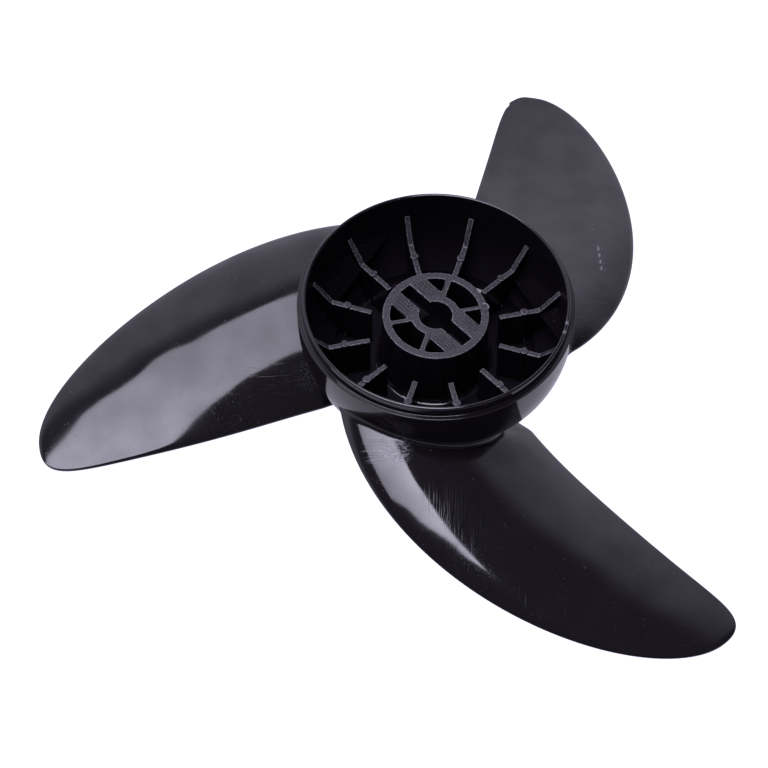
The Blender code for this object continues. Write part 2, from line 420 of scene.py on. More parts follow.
@dataclass
class HubShell:
    """The turned shell: lip, shoulder, bowl, nose with its nut recess, floor and the cavity's wall."""

    bowl: Bowl
    sides: int = 192
    rows: int = 56
    wall: float = 0.0030
    lip_inner: float = 0.0415
    lip_outer: float = 0.0426
    shoulder_foot: float = 0.0429
    floor_depth: float = 0.0330
    floor_round: float = 0.0030
    foot_round: float = 0.0018
    boss_foot: float = 0.0179
    cell_depth: float = 0.0350
    bore: float = 0.00536
    recess_radius: float = 0.0125
    recess_depth: float = 0.0100
    lip_round: float = 0.00050
    corner_round: float = 0.00022
    nose_round: float = 0.00044
    round_steps: int = 8
    round_segments: int = 4
    hollow_tilt: Point = (0.2, 0.985)

    def height(self, depth: float) -> float:
        """The height in the frame of a depth below the lip's top."""
        return self.bowl.top - depth

    def cavity(self) -> list[Point]:
        """The cavity's wall, a wall's thickness in from the bowl.

        Returns:
            (radius, depth) points, from the floor up to the lip.
        """
        points = []
        for depth in self.bowl.depths(self.rows):
            slope = self.bowl.slope(depth)
            inward = self.wall / math.hypot(1.0, slope)
            inner = (self.bowl.radius(depth) - inward, depth + slope * inward)
            if inner[1] < self.floor_depth - self.floor_round:
                points.append(inner)
        return points[::-1]

    def floor(self) -> list[Point]:
        """The cavity's floor.

        Returns:
            (radius, depth) points, from the hollow round the boss's foot to the floor's outer corner.
        """
        hollow = arc(self.foot_round, 0.0, 0.5 * math.pi, self.round_steps)
        centre = (self.boss_foot + self.foot_round, self.floor_depth - self.foot_round)
        foot = [(centre[0] - x, centre[1] + y) for x, y in hollow]
        last = self.cavity()[0]
        reach = self.floor_depth - last[1]
        turned = arc(reach, 0.0, 0.5 * math.pi, self.round_steps)
        corner = [(last[0] - reach + x, last[1] + y) for y, x in turned]
        return foot + corner[:-1]

    def profile(self) -> tuple[list[Point], dict[int, float]]:
        """The shell's closed outline.

        Returns:
            (radius, depth) points, and the rounding of those that are corners, by index.
        """
        seat = self.bowl.nose_depth - self.recess_depth
        corners = [
            ((self.lip_inner, 0.0), self.lip_round),
            ((self.lip_outer, 0.0), self.lip_round),
            ((self.shoulder_foot, self.bowl.shoulder_depth), self.corner_round),
            ((self.bowl.rim_radius, self.bowl.shoulder_depth), self.corner_round),
        ]
        corners += [((self.bowl.radius(depth), depth), 0.0) for depth in self.bowl.depths(self.rows)]
        corners += [
            ((self.bowl.nose_radius, self.bowl.nose_depth), self.nose_round),
            ((self.recess_radius, self.bowl.nose_depth), self.corner_round),
            ((self.recess_radius, seat), self.corner_round),
            ((self.bore, seat), self.corner_round),
            ((self.bore, self.cell_depth), 0.0),
            ((self.boss_foot, self.cell_depth), 0.0),
        ]
        corners += [(point, 0.0) for point in self.floor() + self.cavity()]
        roundings = {index: width for index, (_, width) in enumerate(corners) if width}
        return [point for point, _ in corners], roundings

    def build(self) -> BMesh:
        """Turn the shell.

        Returns:
            It, with the inner finish in its cavity, apart from the polished hollows at the floor's edges.
        """
        points, roundings = self.profile()
        bm = bmesh.new()
        verts = [bm.verts.new((radius, 0.0, self.height(depth))) for radius, depth in points]
        for first, second in zip(verts, verts[1:] + verts[:1]):
            bm.edges.new((first, second))
        for width in sorted(set(roundings.values())):
            corners = [verts[index] for index, size in roundings.items() if size == width]
            round_off(bm, corners, width, self.round_segments, "VERTICES")
        spin_round(bm, self.sides)
        bm.normal_update()
        for face in bm.faces:
            middle = face.calc_center_median()
            depth = self.height(middle.z)
            inside = math.hypot(middle.x, middle.y) < self.lip_inner
            cavity = inside and self.lip_round < depth < self.cell_depth + self.lip_round
            tilted = self.hollow_tilt[0] < face.normal.z < self.hollow_tilt[1]
            hollow = tilted and depth > self.floor_depth - self.floor_round
            if cavity and not hollow:
                face.material_index = Finish.INNER.value
        return bm


@dataclass
class Ribs:
    """Thin walls that brace the shell, each with a round pad and a level top that kinks up at the lip."""

    shell: HubShell
    count: int = 12
    thickness: float = 0.0018
    start_radius: float = 0.0216
    depth: float = 0.0171
    kink_radius: float = 0.0350
    end_radius: float = 0.0413
    end_depth: float = 0.0095
    round: float = 0.00028
    pad_radius: float = 0.0013
    pad_place: float = 0.0299
    pad_depth: float = 0.0165
    pad_foot: float = 0.0335
    pad_sides: int = 28

    def outline(self) -> list[Point]:
        """The outline of a rib's side.

        Returns:
            (radius, depth) points, sunk halfway into the shell's wall.
        """
        sunk = 0.5 * self.shell.wall
        wall = [(radius + sunk, depth) for radius, depth in self.shell.cavity() if depth > self.end_depth]
        level = [(self.start_radius, self.depth), (self.kink_radius, self.depth)]
        end = [(self.end_radius, self.end_depth), (self.shell.lip_inner + sunk, self.end_depth)]
        foot = (self.start_radius, self.shell.floor_depth + sunk)
        return level + end + wall[::-1] + [foot]

    def build_walls(self) -> BMesh:
        """Make the twelve walls.

        Returns:
            Them, dressed.
        """
        bm = bmesh.new()
        start = -0.5 * self.thickness
        side = [(radius, start, self.shell.height(depth)) for radius, depth in self.outline()]
        prism(bm, side, (0.0, self.thickness, 0.0))
        dress_inside(bm, self.shell.height(self.depth + self.round), self.round, reach=self.end_radius)
        repeat_round(bm, self.count)
        return bm

    def build_pads(self) -> BMesh:
        """Make the round pads that the mould's ejector pins press on.

        Returns:
            Them, dressed.
        """
        bm = bmesh.new()
        low, high = self.shell.height(self.pad_foot), self.shell.height(self.pad_depth)
        disc(bm, (self.pad_place, 0.0), self.pad_radius, self.pad_sides, low, high)
        dress_inside(bm, high - self.round, self.round)
        repeat_round(bm, self.count)
        return bm


@dataclass(frozen=True)
class Flank:
    """Hatching on one of the four flanks of the bridges.

    Attributes:
        right: 1 on the slot's +X side and -1 on the other.
        up: 1 on the slot's +Y side and -1 on the other.
        start: How far from the shaft's axis the ridges start.
        first: How far from the slot's middle the first ridge runs.
        count: How many ridges there are.
        dash: Length of the dashes that they are broken into.
    """

    right: float
    up: float
    start: float
    first: float
    count: int
    dash: float


FLANKS = (
    Flank(-1.0, 1.0, 0.0055, 0.0035, 4, 0.0012),
    Flank(-1.0, -1.0, 0.0060, 0.0030, 5, 0.0013),
    Flank(1.0, 1.0, 0.0075, 0.0050, 3, 0.0040),
    Flank(1.0, -1.0, 0.0058, 0.0037, 4, 0.0045),
)


@dataclass
class Boss:
    """The drive boss: tube round the bore, ring, four spokes, and two bridges with the drive-pin slot."""

    shell: HubShell
    depth: float = 0.0096
    ring_outer: float = 0.0171
    ring_inner: float = 0.01465
    tube: float = 0.0080
    wide_spoke: float = 0.0019
    narrow_spoke: float = 0.0014
    spoke_angles: Sequence[float] = (60.0, 120.0, 240.0, 300.0)
    bridge: float = 0.0152
    slot_width: float = 0.0043
    slot_length: float = 0.0288
    slot_depth: float = 0.0069
    margin: float = 0.0020
    sides: int = 128
    cell_steps: int = 16
    ring_steps: int = 24
    round: float = 0.00030
    corner: float = 0.00070
    slot_foot_round: float = 0.00060
    slot_foot_segments: int = 4
    ridge_pitch: float = 0.00108
    ridge_foot: float = 0.00034
    ridge_top: float = 0.00018
    ridge_height: float = 0.00020
    dash_gap: float = 0.00028
    pad_radius: float = 0.0016
    pad_place: float = 0.01603
    pad_angle: float = math.radians(58.7)
    pad_rise: float = 0.00030
    pad_rim: float = 0.00038
    pad_dish: float = 0.00022
    pad_round: float = 0.00009
    pad_segments: int = 2
    pad_sides: int = 32

    def spokes(self) -> list[Point]:
        """(angle, width) of each spoke."""
        widths = (self.narrow_spoke, self.wide_spoke, self.narrow_spoke, self.wide_spoke)
        return [(math.radians(angle), width) for angle, width in zip(self.spoke_angles, widths)]

    def spoke_edge(self, radius: float, index: int, side: float) -> float:
        """The angle at which one side of a spoke crosses a radius; side is -1 before it and 1 after it."""
        angle, width = self.spokes()[index]
        return angle + side * math.asin(0.5 * width / radius)

    def cell_corner(self, index: int, side: float) -> Point:
        """Where one side of a spoke meets the edge of the bridge next to it.

        Args:
            index: Which spoke it is.
            side: -1 for the side before the spoke and 1 for the one after it.

        Returns:
            The place, seen from above.
        """
        angle, width = self.spokes()[index]
        edge = math.copysign(0.5 * self.bridge, math.sin(angle))
        outward = (edge - side * 0.5 * width * math.cos(angle)) / math.sin(angle)
        return (outward * math.cos(angle) - side * 0.5 * width * math.sin(angle), edge)

    def cell_outlines(self) -> list[list[Point]]:
        """Outlines of the six pockets.

        Returns:
            Four corners beside the bridges, and then two between the spokes.
        """
        reach = math.asin(0.5 * self.bridge / self.ring_inner)
        bridges = (reach, math.pi - reach, math.pi + reach, math.tau - reach)
        outlines = []
        for index, (edge, side) in enumerate(zip(bridges, (-1.0, 1.0, -1.0, 1.0))):
            start, end = sorted((edge, self.spoke_edge(self.ring_inner, index, side)))
            rim = arc(self.ring_inner, start, end, self.cell_steps)
            outlines.append(rim + [self.cell_corner(index, side)])
        for before, after in ((0, 1), (2, 3)):
            rims = []
            for radius, steps in ((self.ring_inner, self.ring_steps), (self.tube, self.cell_steps)):
                start, end = self.spoke_edge(radius, before, 1.0), self.spoke_edge(radius, after, -1.0)
                rims.append(arc(radius, start, end, steps))
            outlines.append(rims[0] + rims[1][::-1])
        return [softened(outline, self.corner) for outline in outlines]

    def body(self) -> BMesh:
        """The boss before anything is cut from it.

        Returns:
            A drafted cylinder, whose foot is sunk into the hub.
        """
        depth, foot = self.depth, self.shell.cell_depth + 0.5 * self.wide_spoke
        profile = [(0.0, depth), (self.ring_outer, depth), (self.shell.boss_foot, foot), (0.0, foot)]
        bm = bmesh.new()
        verts = [bm.verts.new((radius, 0.0, self.shell.height(depth))) for radius, depth in profile]
        for first, second in zip(verts, verts[1:]):
            bm.edges.new((first, second))
        spin_round(bm, self.sides)
        return bm

    def cells(self) -> BMesh:
        """The six pockets between the tube and the ring.

        Returns:
            Solids to cut them with.
        """
        low = self.shell.height(self.shell.cell_depth + self.margin)
        travel = (0.0, 0.0, self.shell.height(self.depth - self.margin) - low)
        bm = bmesh.new()
        for outline in self.cell_outlines():
            prism(bm, [(x, y, low) for x, y in outline], travel)
        return bm

    def slot(self) -> BMesh:
        """The drive-pin slot, hollow along the foot of its walls.

        Returns:
            A solid to cut it with.
        """
        x, y = 0.5 * self.slot_length, 0.5 * self.slot_width
        floor = self.shell.height(self.depth + self.slot_depth)
        corners = [(x, -y, floor), (x, y, floor), (-x, y, floor), (-x, -y, floor)]
        bm = bmesh.new()
        prism(bm, corners, (0.0, 0.0, self.slot_depth + self.margin))
        feet = [edge for edge in bm.edges if max(vert.co.z for vert in edge.verts) < floor + MERGE_DISTANCE]
        round_off(bm, feet, self.slot_foot_round, self.slot_foot_segments)
        return bm

    def shaft_way(self) -> BMesh:
        """The bore.

        Returns:
            A solid to cut it with.
        """
        low = self.shell.height(self.shell.cell_depth + self.margin)
        bm = bmesh.new()
        disc(bm, (0.0, 0.0), self.shell.bore, self.sides, low, self.shell.height(self.depth - self.margin))
        return bm

    def build_body(self) -> BMesh:
        """Cut the boss out and round its upper edges.

        Returns:
            It, dressed.
        """
        bm = cut_away(self.body(), [self.cells(), self.slot(), self.shaft_way()])
        dress_inside(bm, self.shell.height(self.depth + self.round), self.round)
        return bm

    def ridge(self, bm: BMesh, start: float, end: float, y: float) -> None:
        """Add one narrow ridge with sloping flanks.

        Args:
            bm: The bmesh that takes it.
            start: Where along the slot it starts.
            end: Where it ends.
            y: How far beside the slot's middle it runs.
        """
        foot, crest = self.ridge_foot, self.ridge_top
        low = self.shell.height(self.depth + 0.5 * self.ridge_height)
        high = self.shell.height(self.depth - self.ridge_height)
        section = [(-foot, low), (foot, low), (crest, high), (-crest, high)]
        prism(bm, [(start, y + across, height) for across, height in section], (end - start, 0.0, 0.0))

    def build_ridges(self) -> BMesh:
        """Make the fine hatching that the cutter left on the four flanks of the bridges.

        Returns:
            It, spark-eroded as the tops are.
        """
        bm = bmesh.new()
        for flank in FLANKS:
            for index in range(flank.count):
                beside = flank.first + self.ridge_pitch * index
                tube_edge = math.sqrt(max(0.0, self.tube**2 - beside**2)) + self.ridge_foot
                start = max(flank.start, tube_edge)
                end = math.sqrt(self.ring_inner**2 - beside**2) - self.round
                dashes = max(1, round((end - start) / flank.dash))
                step = (end - start) / dashes
                for dash in range(dashes):
                    ends = (start + step * dash, start + step * (dash + 1) - self.dash_gap)
                    along = sorted(flank.right * place for place in ends)
                    self.ridge(bm, along[0], along[1], flank.up * beside)
        for face in bm.faces:
            face.material_index = Finish.ERODED.value
        return bm

    def build_pad(self) -> BMesh:
        """Make the dished round pad that an ejector pin leaves on the ring.

        Returns:
            It, dressed.
        """
        bm = bmesh.new()
        centre = (self.pad_place * math.cos(self.pad_angle), self.pad_place * math.sin(self.pad_angle))
        high = self.shell.height(self.depth - self.pad_rise)
        low = self.shell.height(self.depth + self.pad_radius)
        disc(bm, centre, self.pad_radius, self.pad_sides, low, high)
        lid = max(bm.faces, key=lambda face: face.calc_center_median().z)
        bmesh.ops.inset_region(bm, faces=[lid], thickness=self.pad_rim)
        bmesh.ops.translate(bm, verts=lid.verts[:], vec=(0.0, 0.0, -self.pad_dish))
        dress_inside(bm, high - self.pad_dish - MERGE_DISTANCE, self.pad_round, self.pad_segments)
        return bm


@dataclass
class Blade:
    """One swept blade, which flows into the hub through a hollow fillet.

    Factors are of polynomials in the span, which is 0 at the root radius and 1 at the tip. A nick is its
    span, how far it stands out from the trailing edge and its width in the span.
    """

    bowl: Bowl
    number: int
    nicks: Sequence[Triple] = ()
    count: int = 3
    tip_radius: float = 0.1326
    root_radius: float = 0.0400
    first_angle: float = 1.370
    chord: Sequence[float] = (0.0771, 0.0146, -0.1007, 0.0598)
    tip_fullness: float = 3.864
    tip_rounding: float = 2.266
    skew: Sequence[float] = (0.0, 1.277, -0.913, 0.359)
    pitch: Sequence[float] = (0.0915, 0.1335, -0.1491)
    rake: Sequence[float] = (-0.0280, -0.0304, 0.0094, 0.0027)
    camber: Sequence[float] = (0.0726, 0.0168, -0.0883)
    camber_lean: Sequence[float] = (-0.0109, 0.0036)
    root_thickness: float = 0.0054
    tip_thickness: float = 0.0018
    trailing_thickness: float = 0.0014
    nose_fullness: float = 4.0
    trailing_fullness: float = 80.0
    tip_edge_fullness: float = 150.0
    nick_fading: float = 8.0
    fillet: float = 0.0015
    fillet_rounds: int = 6
    buried: float = 0.0010
    columns: int = 72
    fillet_rows: int = 10
    rows: int = 84

    def half_thickness(self, along: float, span: float) -> float:
        """Half the blade's thickness at a place.

        Args:
            along: The place across the blade: -1 at its round leading edge, 1 at its blunt trailing edge.
            span: The place out along it.

        Returns:
            The thickness above or below its middle.
        """
        thickness = self.root_thickness + (self.tip_thickness - self.root_thickness) * span
        tip = math.sqrt(max(0.0, 1.0 - span**self.tip_edge_fullness))
        if along < 0.0:
            return 0.5 * thickness * tip * math.sqrt(max(0.0, 1.0 - along**self.nose_fullness))
        thinned = thickness + (self.trailing_thickness - thickness) * along**2
        return 0.5 * thinned * tip * math.sqrt(max(0.0, 1.0 - along**self.trailing_fullness))

    def place(self, radius: float, turn: float, swell: float) -> Vector:
        """A point of the blade's skin.

        Args:
            radius: Its distance from the shaft's axis.
            turn: Its angle round the section: 0 at the leading edge, pi at the trailing, upper side first.
            swell: How much the fillet thickens and widens the blade there.

        Returns:
            The point in the frame.
        """
        span = min(1.0, max(0.0, (radius - self.root_radius) / (self.tip_radius - self.root_radius)))
        chord = polynomial(self.chord, span) * (1.0 - span**self.tip_fullness) ** (1.0 / self.tip_rounding)
        reach = max(radius, self.root_radius)
        pitch = math.atan(polynomial(self.pitch, span) / (math.tau * reach))
        along = -math.cos(turn)
        rise = self.half_thickness(along, span) + swell * (1.0 - along**self.nose_fullness)
        camber = polynomial(self.camber, span) + polynomial(self.camber_lean, span) * along
        offset = camber * chord * (1.0 - along**2) + math.copysign(rise, math.sin(turn))
        forward = 0.5 * along * chord + min(0.0, along) * swell
        for place, depth, width in self.nicks:
            closeness = math.exp(-(((span - place) / width) ** 2))
            forward += depth * max(0.0, along) ** self.nick_fading * closeness
        middle = self.first_angle + polynomial(self.skew, span) + math.tau * self.number / self.count
        angle = middle + (forward * math.cos(pitch) + offset * math.sin(pitch)) / reach
        height = self.bowl.top - 0.5 * along * chord * math.sin(pitch) + polynomial(self.rake, span)
        height += offset * math.cos(pitch)
        return Vector((radius * math.cos(angle), radius * math.sin(angle), height))

    def fillet_place(self, gap: float, turn: float) -> Vector:
        """A point of the skin at a distance from the bowl's side, thickened there by the fillet.

        Args:
            gap: The distance out from the bowl, less than 0 inside its wall.
            turn: The point's angle round the section.

        Returns:
            The point in the frame.
        """
        inward = self.fillet - max(0.0, gap)
        rise = self.fillet - math.sqrt(max(0.0, self.fillet**2 - inward**2))
        radius = self.root_radius
        for _ in range(self.fillet_rounds):
            depth = self.bowl.top - self.place(radius, turn, rise).z
            radius = self.bowl.radius(depth) + gap
        return self.place(radius, turn, rise)

    def skin_point(self, row: int, turn: float) -> Vector:
        """The skin's point on a row: buried, then along the fillet, then out to the tip.

        Args:
            row: The row, from 0 at the buried end.
            turn: The point's angle round the section.

        Returns:
            The point in the frame.
        """
        if row == 0:
            return self.fillet_place(-self.buried, turn)
        if row <= self.fillet_rows:
            slide = 0.5 * math.pi * (1.0 - (row - 1) / (self.fillet_rows - 1))
            return self.fillet_place(self.fillet * (1.0 - math.sin(slide)), turn)
        start = self.fillet_place(self.fillet, turn)
        first = math.hypot(start.x, start.y)
        part = (row - self.fillet_rows) / (self.rows - self.fillet_rows)
        radius = first + (self.tip_radius - first) * math.sin(0.5 * math.pi * part)
        return self.place(radius, turn, 0.0)

    def build(self) -> BMesh:
        """Shape a subdivided tube into the blade's skin.

        Returns:
            The blade.
        """
        bm = bmesh.new()
        sides, length = 2 * self.columns, float(self.rows)
        bmesh.ops.create_cone(bm, cap_ends=True, segments=sides, radius1=1.0, radius2=1.0, depth=length)
        upright = [edge for edge in bm.edges if edge.calc_length() > 0.5 * length]
        bmesh.ops.subdivide_edges(bm, edges=upright, cuts=self.rows - 1, use_grid_fill=True)
        for vert in bm.verts:
            row = round(vert.co.z + 0.5 * length)
            turn = math.atan2(vert.co.y, -vert.co.x) % math.tau
            vert.co = self.skin_point(row, turn)
        bmesh.ops.remove_doubles(bm, verts=bm.verts[:], dist=MERGE_DISTANCE)
        face_outward(bm)
        return bm


# The chipped corner at one blade's tip
TIP_NICKS = ((0.958, 0.00045, 0.008), (0.940, -0.00035, 0.008))


class NodeTree:
    """Adds and links nodes in one shader tree or group."""

    def __init__(self, tree: bpy.types.NodeTree, groups: Groups | None = None) -> None:
        """Keep the tree, and the groups that can be placed in it by name."""
        self.tree = tree
        self.groups = groups or {}

    def feed(self, node: bpy.types.Node, name: str | int, value: object) -> None:
        """Set an input to a value, or link an output socket to it.

        Args:
            node: The node that has it.
            name: The input's name or index.
            value: The value or the output socket.
        """
        socket = node.inputs[name]
        if isinstance(value, Socket):
            self.tree.links.new(value, socket)
        else:
            socket.default_value = value

    def add(self, kind: str, settings: dict[str, object] | None = None, **inputs: object) -> bpy.types.Node:
        """Add a node.

        Args:
            kind: Its type's name in Blender, without its first words.
            settings: Values of its own properties.
            **inputs: Its inputs by name with _ for a space, each a value or an output socket.

        Returns:
            The node.
        """
        node = self.tree.nodes.new(f"ShaderNode{kind}")
        for name, value in (settings or {}).items():
            setattr(node, name, value)
        for name, value in inputs.items():
            self.feed(node, name.replace("_", " "), value)
        return node

    def group(self, name: str, **inputs: object) -> Socket:
        """What one of the groups puts out for its inputs."""
        return self.add("Group", {"node_tree": self.groups[name]}, **inputs).outputs[0]

    def result(self, kind: str, operation: str, values: Sequence, output: str | int = 0) -> Socket:
        """What a node that calculates puts out.

        Args:
            kind: Its type's name, as for add.
            operation: What it does.
            values: Its inputs in order, each a value or an output socket.
            output: Which of its outputs is meant.

        Returns:
            That output.
        """
        node = self.add(kind, {"operation": operation})
        for index, value in enumerate(values):
            self.feed(node, index, value)
        return node.outputs[output]

    def math(self, operation: str, *values: object) -> Socket:
        """The result of a math node."""
        return self.result("Math", operation, values)

    def vector(self, operation: str, *values: object, output: str = "Vector") -> Socket:
        """The result of a vector math node."""
        return self.result("VectorMath", operation, values, output)

    def noise(self, place: Socket, scale: float | Socket, detail: Detail) -> Socket:
        """The value of a noise pattern."""
        return self.add("TexNoise", Vector=place, Scale=scale, Detail=detail.value).outputs[0]

    def ramp(self, value: Socket, ends: Sequence, to: Sequence = (0.0, 1.0), smooth: bool = False) -> Socket:
        """Map a value from one range to another and keep it there.

        Args:
            value: The value.
            ends: Where it starts and ends.
            to: What it is mapped to at those ends.
            smooth: Whether it eases in and out.

        Returns:
            The result.
        """
        settings = {"interpolation_type": "SMOOTHSTEP" if smooth else "LINEAR"}
        node = self.add("MapRange", settings, Value=value, From_Min=ends[0], From_Max=ends[1])
        self.feed(node, "To Min", to[0])
        self.feed(node, "To Max", to[1])
        return node.outputs[0]


def new_group(name: str, inputs: dict[str, object], output: str) -> NodeTree:
    """Start a shader node group that puts out one value.

    Args:
        name: The group's name.
        inputs: Default of each input by name, a number or a vector.
        output: The output's name.

    Returns:
        Its tree, with its input and output nodes in it.
    """
    group = bpy.data.node_groups.new(name, "ShaderNodeTree")
    for label, default in inputs.items():
        kind = FLOAT if isinstance(default, float) else VECTOR
        group.interface.new_socket(name=label, in_out="INPUT", socket_type=kind).default_value = default
    group.interface.new_socket(name=output, in_out="OUTPUT", socket_type=FLOAT)
    group.nodes.new("NodeGroupInput")
    group.nodes.new("NodeGroupOutput")
    return NodeTree(group)


def mottle_group() -> bpy.types.NodeTree:
    """A slow, cloudy variation between two values, as where the plastic cooled unevenly.

    Returns:
        The group.
    """
    works = new_group("Mottle", {"Vector": ORIGIN, "Scale": 60.0, "Low": 0.1, "High": 0.2}, "Value")
    source, sink = works.tree.nodes["Group Input"].outputs, works.tree.nodes["Group Output"]
    noise = works.noise(source["Vector"], source["Scale"], Detail.CLOUDY)
    works.feed(sink, "Value", works.ramp(noise, NOISE_ENDS, (source["Low"], source["High"])))
    return works.tree


def scuff_group() -> bpy.types.NodeTree:
    """Fine scratches inside a round patch, which fade toward its rim.

    Returns:
        The group.
    """
    inputs = {
        "Vector": ORIGIN,
        "Centre": ORIGIN,
        "Reach": 0.01,
        "Heading": ORIGIN,
        "Stretch": (150.0, 2500.0, 800.0),
        "Cover": 0.6,
        "Strength": 1.0,
    }
    works = new_group("Scuffs", inputs, "Mask")
    source, sink = works.tree.nodes["Group Input"].outputs, works.tree.nodes["Group Output"]
    local = works.vector("SUBTRACT", source["Vector"], source["Centre"])
    part = works.math("DIVIDE", works.vector("LENGTH", local, output="Value"), source["Reach"])
    fade = works.ramp(part, (1.0, 0.25), smooth=True)
    settings = {"rotation_type": "EULER_XYZ"}
    turned = works.add("VectorRotate", settings, Vector=local, Rotation=source["Heading"])
    stretched = works.vector("MULTIPLY", turned.outputs[0], source["Stretch"])
    noise = works.noise(stretched, 1.0, Detail.FINE)
    level = works.math("SUBTRACT", 1.0, source["Cover"])
    lines = works.ramp(noise, (level, works.math("ADD", level, SCUFF_EDGE)))
    mask = works.math("MULTIPLY", lines, fade)
    works.feed(sink, "Mask", works.math("MULTIPLY", mask, source["Strength"]))
    return works.tree


def speck_group() -> bpy.types.NodeTree:
    """Dust and tiny pits scattered all over.

    Returns:
        The group.
    """
    works = new_group("Specks", {"Vector": ORIGIN, "Scale": 800.0, "Level": 0.73}, "Mask")
    source, sink = works.tree.nodes["Group Input"].outputs, works.tree.nodes["Group Output"]
    noise = works.noise(source["Vector"], source["Scale"], Detail.PLAIN)
    level = source["Level"]
    works.feed(sink, "Mask", works.ramp(noise, (level, works.math("ADD", level, SPECK_EDGE))))
    return works.tree


@dataclass(frozen=True)
class Scuff:
    """A patch of fine scratches on a surface.

    Attributes:
        centre: Its middle in the frame.
        reach: Its radius.
        heading: Turn of the scratches' lie about Z in radians.
        stretch: How fast the pattern changes along and across the scratches, per metre.
        cover: Share of the patch that they cover.
        strength: How light and rough they are.
    """

    centre: Triple
    reach: float
    heading: float
    stretch: Triple
    cover: float
    strength: float


def trail(start: Triple, end: Triple, count: int, reach: float, strength: float) -> tuple[Scuff, ...]:
    """Small marks in a row, as a drag across something hard leaves.

    Args:
        start: Where the row starts.
        end: Where it ends.
        count: How many marks it has.
        reach: Each mark's radius.
        strength: How light they are.

    Returns:
        The marks.
    """
    heading = -math.atan2(end[1] - start[1], end[0] - start[0])
    places = [Vector(start).lerp(Vector(end), index / (count - 1)) for index in range(count)]
    stretch = (350.0, 1500.0, 700.0)
    return tuple(Scuff(tuple(place), reach, heading, stretch, 0.50, strength) for place in places)


ALONG = math.radians(-47.0)
ACROSS = math.radians(44.0)
SCUFFS = (
    Scuff((0.0215, -0.0449, 0.0124), 0.0062, ALONG, (60.0, 1700.0, 110.0), 0.46, 1.0),
    Scuff((0.0262, -0.0406, 0.0122), 0.0056, ALONG, (700.0, 2600.0, 900.0), 0.53, 0.7),
    Scuff((0.0470, -0.0420, 0.0062), 0.0100, ACROSS, (60.0, 3200.0, 120.0), 0.45, 0.22),
    Scuff((0.0570, -0.0418, 0.0033), 0.0100, ACROSS, (90.0, 2800.0, 160.0), 0.41, 0.16),
    Scuff((0.0290, -0.0510, 0.0080), 0.0100, ALONG, (1800.0, 2400.0, 1800.0), 0.38, 0.16),
    Scuff((0.0669, -0.0435, 0.0001), 0.0140, ACROSS, (1500.0, 2400.0, 1500.0), 0.36, 0.13),
    Scuff((0.0837, -0.0399, -0.0047), 0.0060, ACROSS, (50.0, 1500.0, 90.0), 0.40, 0.12),
    Scuff((0.0932, -0.0319, -0.0069), 0.0070, ACROSS, (50.0, 1700.0, 90.0), 0.37, 0.12),
    Scuff((-0.0225, -0.0345, -0.0045), 0.0075, ALONG, (2200.0, 2600.0, 2200.0), 0.47, 0.24),
    Scuff((-0.0290, -0.0420, -0.0070), 0.0100, ALONG, (160.0, 2800.0, 260.0), 0.40, 0.07),
    Scuff((-0.0336, -0.0602, -0.0118), 0.0150, ACROSS, (900.0, 2200.0, 900.0), 0.38, 0.12),
    Scuff((-0.0375, -0.0437, -0.0032), 0.0140, ALONG, (70.0, 2800.0, 120.0), 0.37, 0.20),
    Scuff((-0.0570, -0.1010, -0.0155), 0.0090, ALONG, (900.0, 1500.0, 900.0), 0.37, 0.25),
    Scuff((0.0348, 0.0353, 0.0118), 0.0120, ALONG, (60.0, 2600.0, 120.0), 0.40, 0.16),
    Scuff((0.0263, 0.0481, 0.0102), 0.0110, ALONG, (50.0, 2000.0, 90.0), 0.40, 0.16),
    Scuff((0.0349, 0.0235, 0.0296), 0.0010, 0.0, (1800.0, 1800.0, 1800.0), 0.62, 1.0),
    Scuff((0.0368, 0.0204, 0.0293), 0.0010, 0.0, (1800.0, 1800.0, 1800.0), 0.62, 1.0),
    *trail((0.0001, 0.0747, 0.0018), (0.0080, 0.0690, 0.0040), 2, 0.0010, 0.5),
    *trail((0.0090, 0.0683, 0.0043), (0.0166, 0.0617, 0.0064), 4, 0.0015, 1.0),
)


